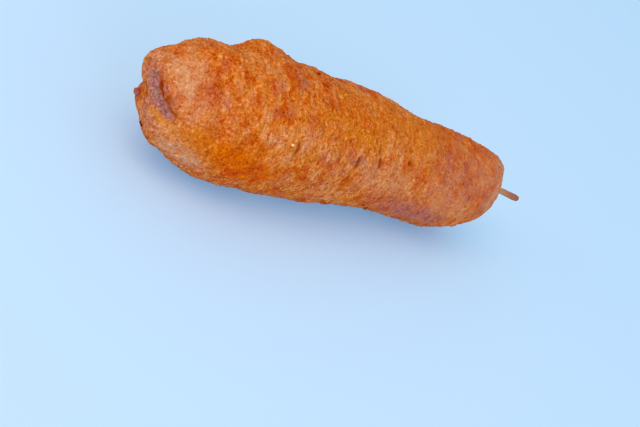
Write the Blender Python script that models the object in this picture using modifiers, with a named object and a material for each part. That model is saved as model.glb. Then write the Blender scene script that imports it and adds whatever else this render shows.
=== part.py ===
"""A corn dog: a sausage in fried cornmeal batter on a thin wooden pick, lying on its side.

The batter crust is one solid.  Its surface is a sphere mapped onto a tapering roll: a formula gives
the roll's radius along its length, swells and dents make it uneven, and a healed tear runs down its
round tip.  The pick is a turned piece that sits in a blind hole at the other end.

Frame: metres, +Z up, the roll along X with its tip at -X and the pick at +X, the origin under the
middle of the whole thing, on the surface that it lies on.  Positions on the crust are stated as a
distance along the roll from its tip and a turn about its axis: 0 is up and 90 faces -Y.
"""
import math
from dataclasses import dataclass

import bmesh
import bpy
from mathutils import Matrix, Vector

MM = 0.001

# Roll of batter
ROLL_LENGTH = 129.0 * MM
BELLY_RADIUS = 19.3 * MM  # the fat half towards the tip
NECK_RADIUS = 14.7 * MM  # the thin half towards the pick
TAPER_START = 35.0 * MM
TAPER_END = 119.0 * MM
TIP_CAP_LENGTH = 29.0 * MM  # a long dome
TIP_CAP_POWERS = (1.55, 1.7)
NECK_CAP_LENGTH = 18.0 * MM  # a flatter end with a round shoulder
NECK_CAP_POWERS = (2.45, 3.4)
RINGS = 68
SEGMENTS = 56

# Bend of the centre line, across the roll towards BEND_TURN
BEND_TURN = 146.0
TIP_BEND = -2.6 * MM
NECK_BEND = -1.9 * MM
END_BEND_REACH = 6.0 * MM
SHOULDER_BEND = 2.8 * MM
SHOULDER_PLACE = 108.0 * MM
SHOULDER_REACH = 14.0 * MM

# Pick
PICK_LENGTH = 65.0 * MM
PICK_STUB = 18.0 * MM  # what stands out past the roll's end
PICK_RADIUS = 0.8 * MM
PICK_END_RADIUS = 1.05 * MM
PICK_POINT_LENGTH = 6.0 * MM
PICK_RIM = 0.25 * MM
PICK_SLANT = 7.0  # degrees off the roll's axis, towards BEND_TURN
PICK_SHIFT = 0.5 * MM
PICK_STEPS = 20
HOLE_GAP = 0.3 * MM

# How it lies: on its belly and its neck, each settled to a small flat spot
BELLY_PLACE = 36.0 * MM
NECK_PLACE = 106.0 * MM
FLAT_DEPTH = 0.45 * MM
UNDERSIDE = 180.0


@dataclass(frozen=True)
class Swell:
    """A long bump (or a dip, with a height below 0) in the roll's radius, in millimetres and degrees."""

    along: float
    turn: float
    height: float
    reach_along: float
    reach_turn: float = 34.0

    def height_at(self, along: float, turn: float) -> float:
        """Height that the swell adds at a place on the roll, in metres."""
        step_along = (along - self.along * MM) / (self.reach_along * MM)
        step_turn = ((turn - self.turn + 180.0) % 360.0 - 180.0) / self.reach_turn
        return self.height * MM * math.exp(-step_along**2 - step_turn**2)


@dataclass(frozen=True)
class Knob:
    """A round bump or dent pushed along the surface's normal, in millimetres and degrees."""

    along: float
    turn: float
    height: float
    radius: float


SWELLS = (
    # ridge side, from the tip to the pick
    Swell(3.6, -34, 2.3, 5.8),
    Swell(14.5, -34, 1.4, 5.1),
    Swell(26.1, -34, -1.8, 6.9),
    Swell(33.8, -34, 2.3, 3.8),
    Swell(46.7, -34, -0.9, 5.4),
    Swell(58.9, -34, -1.6, 5.7),
    Swell(89.3, -34, -1.1, 7.3),
    Swell(107.4, -34, 1.6, 7.6),
    # opposite side
    Swell(7.4, 146, 1.4, 3.6),
    Swell(19.2, 146, 0.5, 6.6),
    Swell(74.5, 146, -0.5, 4.3),
    Swell(83.6, 146, -0.7, 5.8),
    Swell(102.7, 146, -0.5, 9.0),
    Swell(115.8, 146, -1.5, 6.7),
    # facing side
    Swell(44.0, 78, 0.5, 11.0, 24),
    Swell(60.0, 40, 0.5, 9.0, 22),
    Swell(71.0, 60, -0.6, 4.0, 20),
    Swell(85.0, 50, -0.5, 4.0, 22),
    Swell(103.0, 60, 0.6, 7.0, 26),
    # far side
    Swell(30.0, 236, 0.9, 12.0, 30),
    Swell(58.0, 262, -0.8, 7.0, 28),
    Swell(84.0, 226, 0.7, 9.0, 30),
    Swell(108.0, 258, -0.5, 6.0, 26),
)

KNOBS = (
    # around the tip
    Knob(2.2, 297, 1.5, 3.9),
    Knob(1.0, 165, -2.0, 5.0),
    Knob(4.0, 214, 1.3, 2.4),
    Knob(4.6, 248, -1.6, 5.3),
    Knob(9.1, 148, 1.1, 5.0),
    Knob(4.0, 56, 0.6, 2.4),
    # around the neck's shoulder
    Knob(113.8, 311, -0.7, 8.3),
    Knob(122.7, 335, -1.4, 4.7),
    Knob(127.5, 44, 0.9, 7.9),
)

# Healed tear on the tip: a groove through these places, widest at the first
TEAR_PLACES = ((0.9, 25), (1.4, 65), (3.0, 89), (7.3, 97))
TEAR_DEPTH = 0.9 * MM
TEAR_WIDTHS = (2.9 * MM, 1.2 * MM)

# Collar of batter around the pick
COLLAR_HEIGHT = 1.3 * MM
COLLAR_RADIUS = 3.2 * MM


def smoothstep(value: float) -> float:
    """Blend from 0 to 1 with flat ends."""
    value = min(max(value, 0.0), 1.0)
    return value * value * (3.0 - 2.0 * value)


def cap(distance: float, length: float, powers: tuple[float, float]) -> float:
    """Factor from 0 at a roll's end to 1 at the end of its cap."""
    left = max(1.0 - distance / length, 0.0)
    return max(1.0 - left ** powers[0], 0.0) ** (1.0 / powers[1])


def across(turn: float) -> Vector:
    """Unit vector across the roll, at a turn in degrees."""
    angle = math.radians(turn)
    return Vector((0.0, -math.sin(angle), math.cos(angle)))


def centre(along: float) -> Vector:
    """Point on the bent centre line."""
    to_end = ROLL_LENGTH - along
    bend = (
        TIP_BEND * math.exp(-along / END_BEND_REACH)
        + NECK_BEND * math.exp(-to_end / END_BEND_REACH)
        + SHOULDER_BEND * math.exp(-(((along - SHOULDER_PLACE) / SHOULDER_REACH) ** 2))
    )
    return Vector((along, 0.0, 0.0)) + bend * across(BEND_TURN)


def radius(along: float, turn: float) -> float:
    """Distance of the surface from the centre line."""
    part = smoothstep((along - TAPER_START) / (TAPER_END - TAPER_START))
    size = BELLY_RADIUS + (NECK_RADIUS - BELLY_RADIUS) * part
    size *= cap(along, TIP_CAP_LENGTH, TIP_CAP_POWERS)
    size *= cap(ROLL_LENGTH - along, NECK_CAP_LENGTH, NECK_CAP_POWERS)
    fade = min(1.0, size / (0.5 * BELLY_RADIUS))
    return size + fade * sum(swell.height_at(along, turn) for swell in SWELLS)


def surface(along: float, turn: float) -> Vector:
    """Point of the crust's surface, before knobs, tear and collar."""
    return centre(along) + radius(along, turn) * across(turn)


def pick_frame() -> Matrix:
    """Frame of the pick: its origin at the roll's end, local Z running out along the pick."""
    slant = math.radians(PICK_SLANT)
    out = math.cos(slant) * Vector((1.0, 0.0, 0.0)) + math.sin(slant) * across(BEND_TURN)
    turned = out.to_track_quat("Z", "Y").to_matrix().to_4x4()
    return Matrix.Translation(centre(ROLL_LENGTH) + PICK_SHIFT * across(BEND_TURN)) @ turned


def near_line(point: Vector, line: list[Vector]) -> tuple[float, float]:
    """Distance of a point from a chain of points, and how far along the chain it is (0 to 1)."""
    best = (math.inf, 0.0)
    spans = len(line) - 1
    for index, (start, end) in enumerate(zip(line, line[1:])):
        step = end - start
        part = min(max((point - start).dot(step) / step.length_squared, 0.0), 1.0)
        best = min(best, ((point - start - part * step).length, (index + part) / spans))
    return best


def relief(point: Vector, tear: list[Vector], pick_exit: Vector) -> float:
    """Height of the small features at a point of the surface, along its normal."""
    height = 0.0
    for knob in KNOBS:
        gap = (point - surface(knob.along * MM, knob.turn)).length
        height += knob.height * MM * math.exp(-((gap / (knob.radius * MM)) ** 2))
    gap, part = near_line(point, tear)
    width = TEAR_WIDTHS[0] + (TEAR_WIDTHS[1] - TEAR_WIDTHS[0]) * part
    height -= TEAR_DEPTH * math.exp(-((gap / width) ** 2))
    gap = (point - pick_exit).length
    return height + COLLAR_HEIGHT * math.exp(-((gap / COLLAR_RADIUS) ** 2))


def material(name: str, colour: tuple[float, float, float], roughness: float) -> bpy.types.Material:
    """Plain Principled material."""
    made = bpy.data.materials.new(name)
    made.use_nodes = True
    shader = made.node_tree.nodes["Principled BSDF"]
    shader.inputs["Base Color"].default_value = (*colour, 1.0)
    shader.inputs["Roughness"].default_value = roughness
    made.diffuse_color = (*colour, 1.0)
    return made


def add_object(
    name: str, bm: bmesh.types.BMesh, group: bpy.types.Collection, parent: bpy.types.Object | None = None
) -> bpy.types.Object:
    """Turn a bmesh into an object of a collection, under a parent."""
    mesh = bpy.data.meshes.new(name)
    bm.to_mesh(mesh)
    bm.free()
    made = bpy.data.objects.new(name, mesh)
    made.parent = parent
    group.objects.link(made)
    return made


def hide_cutter(cutter: bpy.types.Object) -> None:
    """Keep a cutter out of the model."""
    cutter.hide_render = True
    cutter.display_type = "WIRE"


def cut(target: bpy.types.Object, cutter: bpy.types.Object) -> None:
    """Take a cutter's shape away from an object."""
    boolean = target.modifiers.new(cutter.name, "BOOLEAN")
    boolean.operation = "DIFFERENCE"
    boolean.solver = "EXACT"
    boolean.object = cutter


def make_crust(group: bpy.types.Collection, parent: bpy.types.Object) -> bpy.types.Object:
    """Batter roll: a sphere mapped ring by ring onto the roll's surface, then given its small relief."""
    bm = bmesh.new()
    bmesh.ops.create_uvsphere(bm, u_segments=SEGMENTS, v_segments=RINGS, radius=1.0)
    for vertex in bm.verts:
        direction = vertex.co.normalized()
        along = ROLL_LENGTH * (1.0 + direction.z) / 2.0
        turn = math.degrees(math.atan2(direction.y, direction.x))
        vertex.co = surface(along, turn)
    bm.normal_update()
    tear = [surface(along * MM, turn) for along, turn in TEAR_PLACES]
    pick_exit = pick_frame().translation
    pushes = [vertex.normal * relief(vertex.co, tear, pick_exit) for vertex in bm.verts]
    for vertex, push in zip(bm.verts, pushes):
        vertex.co += push
    crust = add_object("crust", bm, group, parent)
    crust.data.shade_smooth()
    crust.data.materials.append(material("fried_batter", (0.56, 0.19, 0.04), 0.5))
    return crust


def make_pick(group: bpy.types.Collection, parent: bpy.types.Object) -> bpy.types.Object:
    """Wooden pick: a turned profile, pointed inside the batter and cut off blunt outside."""
    point = PICK_STUB - PICK_LENGTH
    profile = (
        (0.0, PICK_STUB),
        (PICK_END_RADIUS - PICK_RIM, PICK_STUB),
        (PICK_END_RADIUS, PICK_STUB - PICK_RIM),
        (PICK_RADIUS, 0.0),
        (PICK_RADIUS, point + PICK_POINT_LENGTH),
        (0.0, point),
    )
    bm = bmesh.new()
    corners = [bm.verts.new((across_axis, 0.0, height)) for across_axis, height in profile]
    for start, end in zip(corners, corners[1:]):
        bm.edges.new((start, end))
    pick = add_object("stick", bm, group, parent)
    pick.matrix_local = pick_frame()
    screw = pick.modifiers.new("Turn", "SCREW")
    screw.axis = "Z"
    screw.steps = PICK_STEPS
    screw.render_steps = PICK_STEPS
    screw.use_merge_vertices = True
    screw.merge_threshold = 0.00001
    screw.use_smooth_shade = True
    pick.data.materials.append(material("toasted_wood", (0.36, 0.17, 0.07), 0.65))
    return pick


def make_hole_cutter(group: bpy.types.Collection, parent: bpy.types.Object) -> bpy.types.Object:
    """Cutter for the blind hole around the pick, open at the roll's end."""
    foot = PICK_STUB - PICK_LENGTH - HOLE_GAP
    bm = bmesh.new()
    bmesh.ops.create_cone(
        bm,
        cap_ends=True,
        segments=PICK_STEPS,
        radius1=PICK_RADIUS + HOLE_GAP,
        radius2=PICK_RADIUS + HOLE_GAP,
        depth=PICK_STUB - foot,
    )
    bmesh.ops.translate(bm, verts=bm.verts, vec=(0.0, 0.0, (PICK_STUB + foot) / 2.0))
    cutter = add_object("pick_hole", bm, group, parent)
    cutter.matrix_local = pick_frame()
    hide_cutter(cutter)
    return cutter


def make_table_cutter(group: bpy.types.Collection) -> bpy.types.Object:
    """Cutter below the surface that the corn dog lies on."""
    bm = bmesh.new()
    bmesh.ops.create_cube(bm, size=2.0 * ROLL_LENGTH)
    bmesh.ops.translate(bm, verts=bm.verts, vec=(0.0, 0.0, -ROLL_LENGTH))
    cutter = add_object("table", bm, group)
    hide_cutter(cutter)
    return cutter


def lie_down(holder: bpy.types.Object, pieces: list[bpy.types.Object]) -> None:
    """Lean the holder so that belly and neck both touch z = 0, with the origin under the middle."""
    belly = surface(BELLY_PLACE, UNDERSIDE)
    neck = surface(NECK_PLACE, UNDERSIDE)
    lean = Matrix.Rotation(math.atan2(neck.z - belly.z, neck.x - belly.x), 4, "Y")
    bpy.context.view_layer.update()
    graph = bpy.context.evaluated_depsgraph_get()
    points = []
    for piece in pieces:
        seen = piece.evaluated_get(graph)
        points += [lean @ piece.matrix_local @ vertex.co for vertex in seen.data.vertices]
    low = [min(point[axis] for point in points) for axis in range(3)]
    high = [max(point[axis] for point in points) for axis in range(3)]
    shift = Vector((-(low[0] + high[0]) / 2, -(low[1] + high[1]) / 2, -(low[2] + FLAT_DEPTH)))
    holder.matrix_world = Matrix.Translation(shift) @ lean


def main() -> None:
    """Build the corn dog."""
    for old in list(bpy.data.objects):
        bpy.data.objects.remove(old, do_unlink=True)
    parts = bpy.data.collections.new("corn_dog")
    cutters = bpy.data.collections.new("cutters")
    for group in (parts, cutters):
        bpy.context.scene.collection.children.link(group)
    holder = bpy.data.objects.new("corn_dog", None)
    parts.objects.link(holder)
    crust = make_crust(parts, holder)
    pick = make_pick(parts, holder)
    lie_down(holder, [crust, pick])
    cut(crust, make_hole_cutter(cutters, holder))
    cut(crust, make_table_cutter(cutters))


main()
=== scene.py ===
"""Looks of the corn dog: its fried cornmeal crust, the toasted pick, and the studio round them.

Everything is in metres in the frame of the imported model.  The roll lies along X with its tip at -X.
Sizes in the classes below are in millimetres and degrees unless a name or a comment says otherwise.
"""

import logging
import math
from collections.abc import Sequence
from dataclasses import dataclass
from enum import Enum

import bmesh
import bpy
import numpy as np
from mathutils import Matrix, Vector, noise
from mathutils.bvhtree import BVHTree

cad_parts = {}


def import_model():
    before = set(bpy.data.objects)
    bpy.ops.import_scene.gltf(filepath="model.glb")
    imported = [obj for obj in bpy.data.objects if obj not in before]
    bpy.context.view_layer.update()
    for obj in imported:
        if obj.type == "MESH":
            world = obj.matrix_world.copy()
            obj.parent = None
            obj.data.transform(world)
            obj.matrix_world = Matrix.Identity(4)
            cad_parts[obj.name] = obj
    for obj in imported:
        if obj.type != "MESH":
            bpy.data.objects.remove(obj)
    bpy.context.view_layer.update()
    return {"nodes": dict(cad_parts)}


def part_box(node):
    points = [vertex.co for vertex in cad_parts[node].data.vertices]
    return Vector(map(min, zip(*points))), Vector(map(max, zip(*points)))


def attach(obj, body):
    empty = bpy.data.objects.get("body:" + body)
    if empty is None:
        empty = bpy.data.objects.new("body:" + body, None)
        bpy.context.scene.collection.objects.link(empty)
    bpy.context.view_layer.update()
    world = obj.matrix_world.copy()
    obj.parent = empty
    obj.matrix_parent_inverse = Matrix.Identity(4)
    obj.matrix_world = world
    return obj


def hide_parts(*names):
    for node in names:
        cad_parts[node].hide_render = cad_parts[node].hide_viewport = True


LOG = logging.getLogger("corn_dog")
MM = 0.001
BODY = "root"
Socket = bpy.types.NodeSocket

# Names of the numbers that the meshes carry for the finishes, beside those of the tints
RISE, PIT, TOAST = "rise", "pit", "toast"
GRIT_LIGHT, GRIT_DARK = "grit_light", "grit_dark"


class Slot(Enum):
    """Names of the material slots."""

    BATTER = "fried_batter"
    WOOD = "toasted_wood"


class Tint(Enum):
    """What a mark does to the crust's colour; the value names the mesh attribute that holds it."""

    NONE = ""
    SCAR = "scar"
    CRACK = "crack"
    ROSY = "rosy"
    PAINTED_BOUNCE = "gold"
    # Painted bounce: orange light and shade from a second corn dog that the scene leaves out
    HONEY = "honey"
    PEACH = "peach"
    MAUVE = "mauve"
    LIGHT = "light"


@dataclass(frozen=True)
class Colour:
    """A colour in sRGB, 0 to 255."""

    red: float
    green: float
    blue: float

    def linear(self) -> tuple[float, float, float, float]:
        """The colour as linear RGB with full alpha.

        Returns:
            Red, green, blue and alpha, from 0 to 1.
        """
        parts = []
        for value in (self.red, self.green, self.blue):
            part = value / 255.0
            parts.append(part / 12.92 if part <= 0.04045 else ((part + 0.055) / 1.055) ** 2.4)
        return (*parts, 1.0)


# --------------------------------------------------------------------------- node trees


class Canvas:
    """Adds nodes to a node tree and joins them."""

    def __init__(self, tree: bpy.types.NodeTree) -> None:
        """Keep the tree to draw on."""
        self.tree = tree

    def add(self, kind: str, **settings: object) -> bpy.types.Node:
        """Add a node.

        Args:
            kind: The node's type name.
            settings: Properties to set on it.

        Returns:
            The new node.
        """
        node = self.tree.nodes.new(kind)
        for name, value in settings.items():
            setattr(node, name, value)
        return node

    def feed(self, socket: Socket, value: object) -> None:
        """Join a socket to another one, or set its value.

        Args:
            socket: The socket to fill.
            value: A node's output, or a plain value.
        """
        if isinstance(value, Socket):
            self.tree.links.new(value, socket)
        else:
            socket.default_value = value

    def math(self, operation: str, first: object, second: object = 0.0, clamp: bool = False) -> Socket:
        """Work on two numbers.

        Args:
            operation: What the Math node does.
            first: The first number.
            second: The second number.
            clamp: Whether the result stays between 0 and 1.

        Returns:
            The result.
        """
        node = self.add("ShaderNodeMath", operation=operation, use_clamp=clamp)
        self.feed(node.inputs[0], first)
        self.feed(node.inputs[1], second)
        return node.outputs[0]

    def plus(self, first: object, second: object) -> Socket:
        """Sum of two numbers."""
        return self.math("ADD", first, second)

    def times(self, first: object, second: object) -> Socket:
        """Product of two numbers."""
        return self.math("MULTIPLY", first, second)

    def vector(self, operation: str, first: object, second: object) -> Socket:
        """Work on two vectors.

        Args:
            operation: What the Vector Math node does.
            first: The first vector.
            second: The second vector.

        Returns:
            The resulting vector.
        """
        node = self.add("ShaderNodeVectorMath", operation=operation)
        self.feed(node.inputs[0], first)
        self.feed(node.inputs[1], second)
        return node.outputs[0]

    def scaled(self, vector: object, factor: object) -> Socket:
        """Scale a vector.

        Args:
            vector: The vector.
            factor: The number to multiply it by.

        Returns:
            The scaled vector.
        """
        node = self.add("ShaderNodeVectorMath", operation="SCALE")
        self.feed(node.inputs[0], vector)
        self.feed(node.inputs["Scale"], factor)
        return node.outputs[0]

    def part_of(self, vector: Socket, axis: int) -> Socket:
        """Take one number out of a vector.

        Args:
            vector: The vector.
            axis: 0, 1 or 2 for X, Y or Z.

        Returns:
            That number.
        """
        node = self.add("ShaderNodeSeparateXYZ")
        self.feed(node.inputs[0], vector)
        return node.outputs[axis]

    def stretch(
        self, value: object, low: float, high: float, to: tuple[float, float] = (0.0, 1.0)
    ) -> Socket:
        """Map a value from one range to another, smoothly and clamped.

        Args:
            value: The value.
            low: Start of its range.
            high: End of its range.
            to: Start and end of the new range.

        Returns:
            The mapped value.
        """
        node = self.add("ShaderNodeMapRange", interpolation_type="SMOOTHSTEP", clamp=True)
        numbers = {"Value": value, "From Min": low, "From Max": high, "To Min": to[0], "To Max": to[1]}
        for name, number in numbers.items():
            self.feed(node.inputs[name], number)
        return node.outputs["Result"]

    def noise(
        self,
        where: object,
        size: float,
        detail: float = 2.0,
        roughness: float = 0.5,
        w: float = 0.0,
        distortion: float = 0.0,
    ) -> Socket:
        """Add a noise.

        Args:
            where: Place on the surface.
            size: About how wide a blob is, in millimetres.
            detail: How many finer layers it has.
            roughness: How strong those layers are.
            w: Number that picks the pattern.
            distortion: How much the blobs are drawn out.

        Returns:
            The noise, from 0 to 1.
        """
        node = self.add("ShaderNodeTexNoise", noise_dimensions="4D")
        self.feed(node.inputs["Vector"], where)
        settings = {"W": w, "Scale": 1.0 / (size * MM), "Detail": detail, "Roughness": roughness}
        for name, number in {**settings, "Distortion": distortion}.items():
            self.feed(node.inputs[name], number)
        return node.outputs[0]

    def mix(self, factor: object, first: object, second: object, blend: str = "MIX") -> Socket:
        """Blend two colours.

        Args:
            factor: Share of the second colour.
            first: The first colour.
            second: The second colour.
            blend: How the second one is laid over the first.

        Returns:
            The blended colour.
        """
        node = self.add("ShaderNodeMix", data_type="RGBA", blend_type=blend, clamp_factor=True)
        self.feed(node.inputs[0], factor)
        self.feed(node.inputs[6], first.linear() if isinstance(first, Colour) else first)
        self.feed(node.inputs[7], second.linear() if isinstance(second, Colour) else second)
        return node.outputs[2]

    def ramp(self, factor: object, colours: Sequence[Colour]) -> Socket:
        """Go evenly through a row of colours.

        Args:
            factor: Place in the row, from 0 at its start to 1 at its end.
            colours: The row.

        Returns:
            The colour there.
        """
        node = self.add("ShaderNodeValToRGB")
        stops = node.color_ramp.elements
        for _ in colours[2:]:
            stops.new(0.5)
        for index, (stop, colour) in enumerate(zip(stops, colours)):
            stop.position = index / (len(colours) - 1)
            stop.color = colour.linear()
        self.feed(node.inputs[0], factor)
        return node.outputs[0]

    def attribute(self, name: str) -> Socket:
        """Number that the mesh carries under a name, in a material."""
        return self.add("ShaderNodeAttribute", attribute_name=name).outputs["Fac"]

    def bump(self, shader: bpy.types.Node, height: Socket, strength: float, depth: float) -> None:
        """Give a shader a fine relief.

        Args:
            shader: The shader.
            height: Height of the relief, from 0 to 1.
            strength: Strength of the relief.
            depth: Its depth in millimetres.
        """
        node = self.add("ShaderNodeBump")
        node.inputs["Strength"].default_value = strength
        node.inputs["Distance"].default_value = depth * MM
        self.feed(node.inputs["Height"], height)
        self.feed(shader.inputs["Normal"], node.outputs["Normal"])


def new_material(name: str) -> tuple[bpy.types.Material, Canvas, bpy.types.Node]:
    """Make a material.

    Args:
        name: The material's name.

    Returns:
        The material, a canvas on its tree, and its Principled node.
    """
    made = bpy.data.materials.new(name)
    made.use_nodes = True
    tree = made.node_tree
    return made, Canvas(tree), tree.nodes["Principled BSDF"]


# --------------------------------------------------------------------------- finishes


@dataclass(frozen=True)
class CrustFinish:
    """Fried cornmeal batter: a grainy crust from deep orange to pale gold, a little oily."""

    # Browning, from the darkest to the lightest
    deep: Colour = Colour(210, 84, 5)
    orange: Colour = Colour(222, 109, 24)
    golden: Colour = Colour(230, 130, 52)
    pale: Colour = Colour(232, 144, 86)
    red: Colour = Colour(200, 84, 36)
    # Tints, laid on where the marks of the same name say so
    rosy: Colour = Colour(206, 108, 84)
    honey: Colour = Colour(227, 130, 34)
    mauve: Colour = Colour(176, 100, 96)
    peach: Colour = Colour(230, 158, 114)
    light: Colour = Colour(248, 186, 142)
    # Painted bounce: filter for the orange light and shade that a left-out second corn dog throws on
    # the lower flank
    gold: Colour = Colour(255, 206, 44)
    # Pits, cracks and the scar; the pit and crack colours are painted shade in the pressed-in pits and
    # cracks
    pit: Colour = Colour(160, 60, 10)
    crack: Colour = Colour(158, 58, 2)
    scar_mauve: Colour = Colour(172, 104, 104)
    scar_tan: Colour = Colour(190, 132, 112)
    scar_dark: Colour = Colour(136, 78, 60)
    scar_pale: Colour = Colour(226, 178, 158)
    # How much the grain darkens and lightens the crust, partly its own tone and partly painted shade
    # and glints of the fine relief, and the grit its own grains
    shade: float = 0.122
    fleck_and_glint: float = 0.13
    grit: float = 0.3
    # Where along X the grain calms down towards the neck, and the share that is left of it there
    neck: tuple[float, float] = (-10.0, 50.0)
    neck_share: float = 0.36
    eye_gamma: float = 2.2
    bump: float = 0.8
    bump_depth: float = 0.45
    specular: float = 0.04
    gloss: tuple[float, float, float, float] = (1.0, 0.55, 0.22, 1.0)

    def browning(self, canvas: Canvas, where: Socket) -> Socket:
        """Brown the crust in patches of several sizes and hues.

        Args:
            canvas: The material's canvas.
            where: Place on the surface.

        Returns:
            The colour.
        """
        banded = canvas.vector("MULTIPLY", where, (1.0, 0.6, 0.6))
        broad = canvas.noise(where, 18.0, detail=1.0, w=3.0)
        patches = canvas.noise(banded, 3.4, detail=1.0, roughness=0.4, w=7.0, distortion=0.6)
        spots = canvas.noise(where, 1.7, detail=0.0, w=11.0, distortion=0.8)
        total = canvas.plus(canvas.times(broad, 0.9), canvas.times(patches, 1.8))
        tone = canvas.stretch(canvas.plus(total, canvas.times(spots, 1.2)), 1.34, 2.56)
        colour = canvas.ramp(tone, (self.deep, self.orange, self.golden, self.pale))
        hues = ((self.red, 3.6, 0.45, 21.0), (self.rosy, 5.0, 0.4, 33.0), (self.honey, 3.2, 0.5, 27.0))
        for hue, size, share, w in hues:
            spread = canvas.noise(banded, size, detail=1.0, w=w, distortion=0.7)
            colour = canvas.mix(canvas.stretch(spread, 0.52, 0.68, (0.0, share)), colour, hue)
        return colour

    def tinted(self, canvas: Canvas, colour: Socket, where: Socket) -> Socket:
        """Lay the broad tints over the crust, their edges broken up by a noise.

        Args:
            canvas: The material's canvas.
            colour: The browned crust's colour.
            where: Place on the surface.

        Returns:
            The colour.
        """
        ragged = canvas.noise(where, 2.2, detail=1.0, roughness=0.4, w=37.0, distortion=0.6)
        patchy = canvas.stretch(ragged, 0.35, 0.6, (0.5, 1.2))
        for tint, hue in (
            (Tint.ROSY, self.rosy),
            (Tint.HONEY, self.honey),
            (Tint.MAUVE, self.mauve),
            (Tint.PEACH, self.peach),
            (Tint.LIGHT, self.light),
        ):
            share = canvas.math("MULTIPLY", canvas.attribute(tint.value), patchy, clamp=True)
            colour = canvas.mix(share, colour, hue)
        return colour

    def grain_and_relief_shade(self, canvas: Canvas, where: Socket, grain: Socket, fine: Socket) -> Socket:
        """Work out how much lighter or darker the grain and the grit make each place: the grit's tones
        are its own, the grain's partly its own tone and partly painted shade and glints of the fine
        relief.

        Args:
            canvas: The material's canvas.
            where: Place on the surface.
            grain: Coarser noise of the grain.
            fine: Finer noise of the grain.

        Returns:
            The amount, about zero.
        """
        speckle_and_relief_shade = canvas.plus(canvas.times(grain, 0.5), canvas.times(fine, 0.5))
        # Painted shade and light from the pebbles' height: darker between them, lighter on their tops
        speckle_and_relief_shade = canvas.plus(speckle_and_relief_shade, canvas.times(canvas.attribute(RISE), 0.1))
        near, far = (place * MM for place in self.neck)
        calm = canvas.stretch(canvas.part_of(where, 0), near, far, (1.0, self.neck_share))
        smooth = canvas.stretch(canvas.attribute(Tint.PEACH.value), 0.1, 0.9, (1.0, 0.75))
        # Dark and light of the speckle: partly the crust's own tone, partly painted shade and glints of
        # its fine relief
        dark = canvas.stretch(speckle_and_relief_shade, 0.56, 0.38, (0.0, -self.shade))
        light = canvas.stretch(speckle_and_relief_shade, 0.54, 0.69, (0.0, self.fleck_and_glint))
        amount = canvas.times(canvas.plus(dark, light), canvas.times(calm, smooth))
        grit = canvas.math("SUBTRACT", canvas.attribute(GRIT_LIGHT), canvas.attribute(GRIT_DARK))
        return canvas.plus(amount, canvas.times(grit, self.grit))

    def lightened(self, canvas: Canvas, colour: Socket, amount: Socket) -> Socket:
        """Make a colour lighter or darker, evenly to the eye.

        Args:
            canvas: The material's canvas.
            colour: The colour.
            amount: How much lighter, or darker below zero.

        Returns:
            The colour.
        """
        eye = canvas.add("ShaderNodeGamma")
        canvas.feed(eye.inputs["Color"], colour)
        eye.inputs["Gamma"].default_value = 1.0 / self.eye_gamma
        moved = canvas.vector("MAXIMUM", canvas.vector("ADD", eye.outputs[0], amount), (0.0, 0.0, 0.0))
        back = canvas.add("ShaderNodeGamma")
        canvas.feed(back.inputs["Color"], moved)
        back.inputs["Gamma"].default_value = self.eye_gamma
        return back.outputs[0]

    def worn(self, canvas: Canvas, mark: Tint, unevenness: Socket, amount: float) -> Socket:
        """Break up the edge of a mark, and leave everything else alone.

        Args:
            canvas: The material's canvas.
            mark: Which kind of mark it is.
            unevenness: A noise about zero.
            amount: How strongly the noise eats into the mark.

        Returns:
            The mark, 0 where there is none.
        """
        uneven = canvas.plus(canvas.times(unevenness, amount), 1.0)
        return canvas.times(canvas.attribute(mark.value), uneven)

    def scarred(
        self, canvas: Canvas, colour: Socket, where: Socket, fine: Socket, amount: Socket
    ) -> Socket:
        """Lay the pits, the wrinkled scar and the cracks over the crust, with painted shade in the
        pressed-in pits and cracks.

        Args:
            canvas: The material's canvas.
            colour: The crust's colour.
            where: Place on the surface.
            fine: Finer noise of the grain, which breaks up the cracks.
            amount: How much lighter or darker the grain makes each place.

        Returns:
            The colour.
        """
        # Painted shade in the pits, as strong as they are deep
        colour = canvas.mix(canvas.times(canvas.attribute(PIT), 0.5), colour, self.pit)
        mottle = canvas.noise(where, 1.7, detail=2.0, roughness=0.6, w=41.0, distortion=0.8)
        drawn = canvas.vector("MULTIPLY", where, (1.5, 1.5, 0.6))
        fibres = canvas.noise(drawn, 0.75, detail=2.0, roughness=0.65, w=45.0, distortion=1.0)
        dull = canvas.mix(canvas.stretch(mottle, 0.36, 0.66), self.scar_mauve, self.scar_tan)
        dull = canvas.mix(canvas.stretch(fibres, 0.5, 0.34, (0.0, 0.6)), dull, self.scar_dark)
        dull = canvas.mix(canvas.stretch(fibres, 0.54, 0.68, (0.0, 0.45)), dull, self.scar_pale)
        dull = self.lightened(canvas, dull, amount)
        ragged = canvas.times(canvas.math("SUBTRACT", mottle, 0.5), 0.8)
        ragged = canvas.plus(ragged, canvas.times(canvas.math("SUBTRACT", fibres, 0.5), 0.9))
        healed = canvas.stretch(self.worn(canvas, Tint.SCAR, ragged, 1.9), 0.1, 0.85, (0.0, 0.95))
        # Painted shade in the pressed-in cracks
        ragged = canvas.math("SUBTRACT", fine, 0.5)
        split = canvas.stretch(self.worn(canvas, Tint.CRACK, ragged, 1.8), 0.08, 0.8, (0.0, 0.95))
        return canvas.mix(split, canvas.mix(healed, colour, dull), self.crack)

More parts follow.
